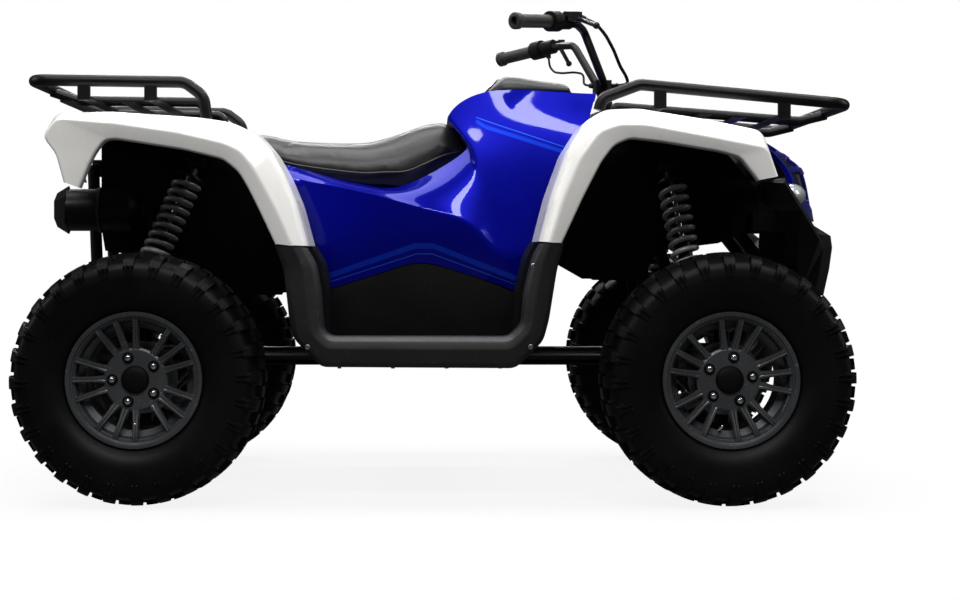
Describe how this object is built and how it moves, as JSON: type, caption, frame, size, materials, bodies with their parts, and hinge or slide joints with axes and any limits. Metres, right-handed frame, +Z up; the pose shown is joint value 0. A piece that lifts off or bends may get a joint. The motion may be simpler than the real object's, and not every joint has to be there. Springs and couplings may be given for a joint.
{
  "type": "quad bike",
  "caption": "Four-wheeled off-road quad bike with lugged tyres, a straddle seat, high handlebar, foot guards, front and rear load racks, flared fenders and a tow hitch.",
  "frame": {"origin": "on the ground under the middle of the overall length and width", "axes": "+X to the front, +Y to the rider's left, +Z up"},
  "size_m": [2.16, 1.18, 1.2711],
  "materials": {
    "tyre": "matt black moulded rubber",
    "gunmetal": "satin dark grey paint",
    "black_frame": "satin black paint",
    "spring_grey": "smooth grey powder coat",
    "bare_steel": "brushed, slightly dull",
    "blue_body": "deep blue, clear and glossy",
    "white_fender": "warm white, glossy",
    "black_plastic": "black moulded plastic, fine grain",
    "grey_plastic": "dark grey moulded plastic",
    "seat_cover": "black seat vinyl, fine grain",
    "grip_rubber": "matt black rubber",
    "clear_lamp": "pale clear lens over a bright bowl",
    "red_lamp": "clear red lens",
    "engine_metal": "dark cast metal"
  },
  "bodies": {
    "chassis": {"rear_knuckles": "black_frame", "front_arms": "black_frame", "rear_arms": "black_frame", "side_frames": "black_frame", "cross_members": "black_frame", "front_rack": "black_frame", "rear_rack": "black_frame", "front_bumper": "black_frame", "tow_hitch": "black_frame", "silencer": "black_frame", "coil_springs": "spring_grey", "dampers": "bare_steel", "drive_shafts": "bare_steel", "skid_plate": "bare_steel", "left_side_cover": "blue_body", "right_side_cover": "blue_body", "tank_cover": "blue_body", "nose_cowl": "blue_body", "front_left_fender": "white_fender", "front_right_fender": "white_fender", "rear_left_fender": "white_fender", "rear_right_fender": "white_fender", "arch_liners": "black_plastic", "decks": "black_plastic", "right_footwell": "grey_plastic", "left_footwell": "grey_plastic", "instrument_hump": "grey_plastic", "seat": "seat_cover", "headlights": "clear_lamp", "tail_lights": "red_lamp", "engine_block": "engine_metal", "gear_housings": "engine_metal"},
    "steering": {"steering_stem": "black_frame", "handlebar": "black_frame", "hand_grips": "grip_rubber", "control_pods": "black_plastic", "hand_levers": "bare_steel", "brake_hose": "black_plastic", "throttle_cable": "black_plastic"},
    "left_knuckle": {"front_left_knuckle": "black_frame"},
    "right_knuckle": {"front_right_knuckle": "black_frame"},
    "left_link": {"left_tie_rod": "black_frame"},
    "right_link": {"right_tie_rod": "black_frame"},
    "front_left_wheel": {"front_left_tyre": "tyre", "front_left_rim": "gunmetal"},
    "front_right_wheel": {"front_right_tyre": "tyre", "front_right_rim": "gunmetal"},
    "rear_left_wheel": {"rear_left_tyre": "tyre", "rear_left_rim": "gunmetal"},
    "rear_right_wheel": {"rear_right_tyre": "tyre", "rear_right_rim": "gunmetal"}
  },
  "joints": [
    {"name": "steering_turn", "type": "hinge", "parent": "chassis", "child": "steering", "pos_m": [0.7025, 0, 0.402], "axis": [-0.3406, 0, 0.9402], "range_deg": [-34, 34]},
    {"name": "left_knuckle_turn", "type": "hinge", "parent": "chassis", "child": "left_knuckle", "pos_m": [0.7125, 0.4255, 0.3175], "axis": [0, 0, 1], "range_deg": [-34, 34]},
    {"name": "left_link_turn", "type": "hinge", "parent": "left_knuckle", "child": "left_link", "pos_m": [0.6005, 0.3855, 0.3797], "axis": [0, 0, 1], "range_deg": [-40, 40]},
    {"name": "front_left_wheel_turn", "type": "hinge", "parent": "left_knuckle", "child": "front_left_wheel", "pos_m": [0.7125, 0.4875, 0.3175], "axis": [0, 1, 0], "continuous": true},
    {"name": "rear_left_wheel_turn", "type": "hinge", "parent": "chassis", "child": "rear_left_wheel", "pos_m": [-0.7625, 0.463, 0.3175], "axis": [0, 1, 0], "continuous": true},
    {"name": "right_knuckle_turn", "type": "hinge", "parent": "chassis", "child": "right_knuckle", "pos_m": [0.7125, -0.4255, 0.3175], "axis": [0, 0, 1], "range_deg": [-34, 34]},
    {"name": "right_link_turn", "type": "hinge", "parent": "right_knuckle", "child": "right_link", "pos_m": [0.6005, -0.3855, 0.3797], "axis": [0, 0, 1], "range_deg": [-40, 40]},
    {"name": "front_right_wheel_turn", "type": "hinge", "parent": "right_knuckle", "child": "front_right_wheel", "pos_m": [0.7125, -0.4875, 0.3175], "axis": [0, 1, 0], "continuous": true},
    {"name": "rear_right_wheel_turn", "type": "hinge", "parent": "chassis", "child": "rear_right_wheel", "pos_m": [-0.7625, -0.463, 0.3175], "axis": [0, 1, 0], "continuous": true}
  ],
  "couplings": [
    {"joint": "left_knuckle_turn", "follows": "steering_turn", "ratio": 1},
    {"joint": "left_link_turn", "follows": "steering_turn", "ratio": -1.17},
    {"joint": "right_knuckle_turn", "follows": "steering_turn", "ratio": 1},
    {"joint": "right_link_turn", "follows": "steering_turn", "ratio": -1.17}
  ]
}
